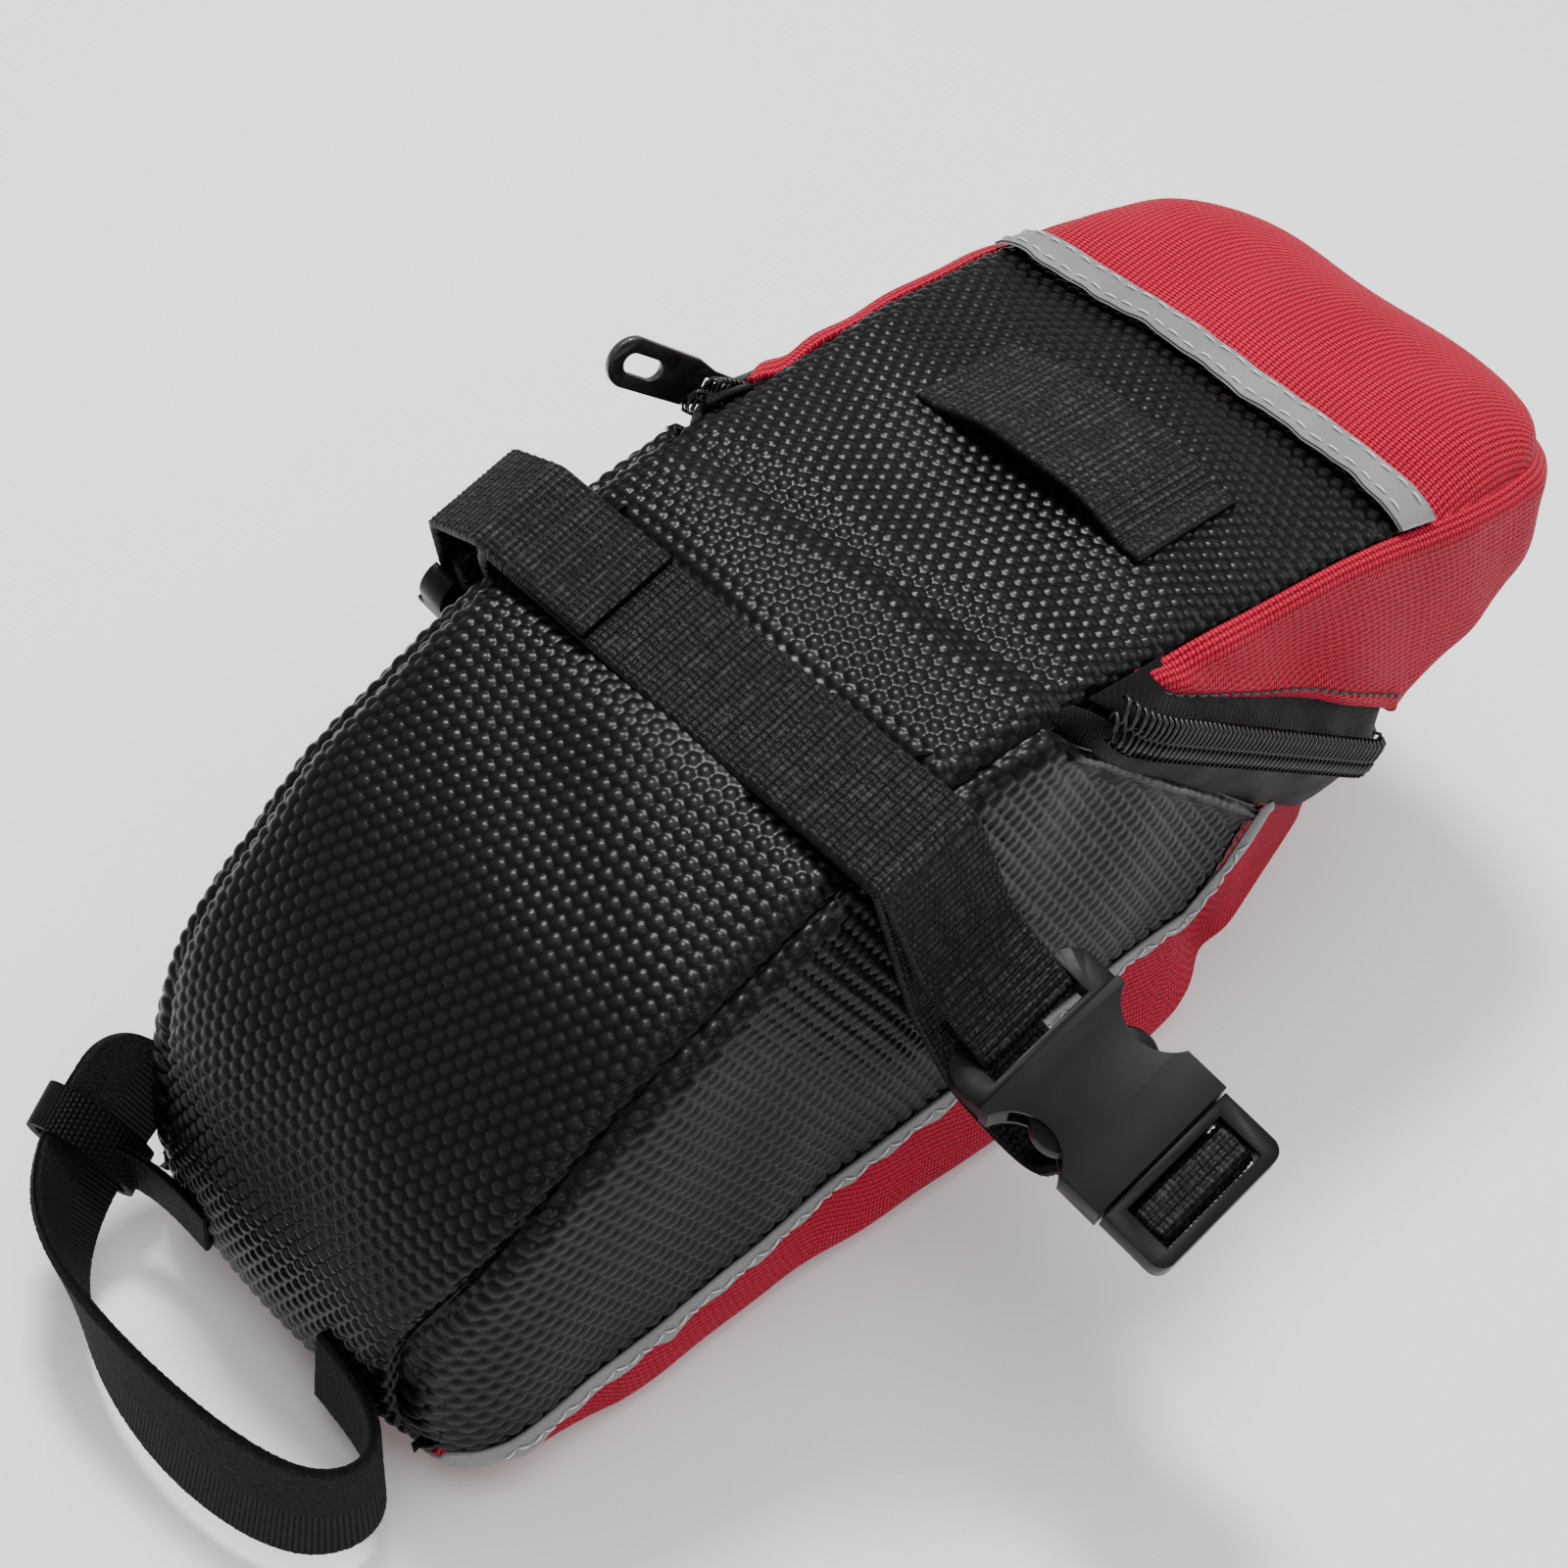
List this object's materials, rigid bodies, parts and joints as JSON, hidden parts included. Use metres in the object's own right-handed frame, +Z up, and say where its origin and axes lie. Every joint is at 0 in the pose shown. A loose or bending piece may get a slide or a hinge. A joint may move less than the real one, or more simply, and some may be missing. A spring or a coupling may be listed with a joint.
{
  "type": "saddle bag",
  "caption": "Wedge saddle bag with a zip-open hood, a webbing strap with side-release buckles for the saddle rails, a seatpost strap and a light loop.",
  "frame": {"origin": "on the flat base, in the middle of the width, below the middle of the saddle-rail strap", "axes": "+Z up from the base; +Y from the seatpost end to the rear of the hood; +X to the side away from the zip slider"},
  "size_m": [0.1455, 0.2327, 0.1008],
  "materials": {
    "dimpled_black": "satin coated fabric with hexagonal dimples",
    "red_fabric": "woven polyester",
    "grey_reflective": "satin reflective tape",
    "black_webbing": "ribbed woven webbing",
    "hook_and_loop": "hook and loop tape",
    "zip_tape": "woven tape",
    "zip_coil": "nylon coil",
    "zip_metal": "gloss black paint",
    "buckle_plastic": "satin acetal"
  },
  "bodies": {
    "bag": {"top_panel": "dimpled_black", "lower_panel": "red_fabric", "side_panel_right": "dimpled_black", "side_panel_left": "dimpled_black", "seam_strip_right": "grey_reflective", "seam_strip_left": "grey_reflective", "zip_tape_body": "zip_tape", "zip_coil_body": "zip_coil", "strap_base": "black_webbing", "strap_upper_right": "black_webbing", "strap_upper_left": "black_webbing", "strap_lower_right": "black_webbing", "strap_lower_left": "black_webbing", "buckle_female_right": "buckle_plastic", "buckle_female_left": "buckle_plastic", "seatpost_strap": "hook_and_loop", "strap_keeper": "black_webbing"},
    "hood": {"hood_panel": "dimpled_black", "hood_gusset_right": "red_fabric", "hood_gusset_left": "red_fabric", "rear_panel": "red_fabric", "reflector": "grey_reflective", "light_loop": "black_webbing", "zip_tape_hood": "zip_tape", "zip_coil_hood": "zip_coil"},
    "slider": {"zip_slider": "zip_metal"},
    "pull": {"zip_pull": "zip_metal"},
    "male_right": {"buckle_male_right": "buckle_plastic", "strap_adjuster_right": "black_webbing"},
    "male_left": {"buckle_male_left": "buckle_plastic", "strap_adjuster_left": "black_webbing"},
    "latch_right_front": {"prong_right_front": "buckle_plastic"},
    "latch_right_rear": {"prong_right_rear": "buckle_plastic"},
    "latch_left_front": {"prong_left_front": "buckle_plastic"},
    "latch_left_rear": {"prong_left_rear": "buckle_plastic"}
  },
  "joints": [
    {"name": "hood_hinge", "type": "hinge", "parent": "bag", "child": "hood", "pos_m": [0, 0.028, 0.0934], "axis": [1, 0, 0], "range_deg": [0, 75]},
    {"name": "zip_slide", "type": "slide", "parent": "bag", "child": "slider", "axis": [-0.0525, 0.8335, -0.5501], "range_m": [0, 0.045]},
    {"name": "pull_pivot", "type": "hinge", "parent": "slider", "child": "pull", "pos_m": [-0.04203, 0.04074, 0.08482], "axis": [0.0346, -0.549, -0.8351], "range_deg": [-8, 125]},
    {"name": "buckle_right_slide", "type": "slide", "parent": "bag", "child": "male_right", "axis": [0.9781, 0.074, -0.1943], "range_m": [0, 0.018]},
    {"name": "buckle_left_slide", "type": "slide", "parent": "bag", "child": "male_left", "axis": [-0.1908, 0.3495, -0.9173], "range_m": [0, 0.018]},
    {"name": "press_right_front", "type": "hinge", "parent": "male_right", "child": "latch_right_front", "pos_m": [0.07007, 0.00426, 0.0542], "axis": [-0.2079, 0.3482, -0.9141], "range_deg": [0, 8], "stiffness_Nm_per_rad": 0.05},
    {"name": "press_right_rear", "type": "hinge", "parent": "male_right", "child": "latch_right_rear", "pos_m": [0.07007, 0.01828, 0.05954], "axis": [0.2079, -0.3482, 0.9141], "range_deg": [0, 8], "stiffness_Nm_per_rad": 0.05},
    {"name": "press_left_front", "type": "hinge", "parent": "male_left", "child": "latch_left_front", "pos_m": [-0.05472, 0.00678, 0.04758], "axis": [-0.9816, -0.0679, 0.1783], "range_deg": [0, 8], "stiffness_Nm_per_rad": 0.05},
    {"name": "press_left_rear", "type": "hinge", "parent": "male_left", "child": "latch_left_rear", "pos_m": [-0.05472, 0.0208, 0.05292], "axis": [0.9816, 0.0679, -0.1783], "range_deg": [0, 8], "stiffness_Nm_per_rad": 0.05}
  ]
}
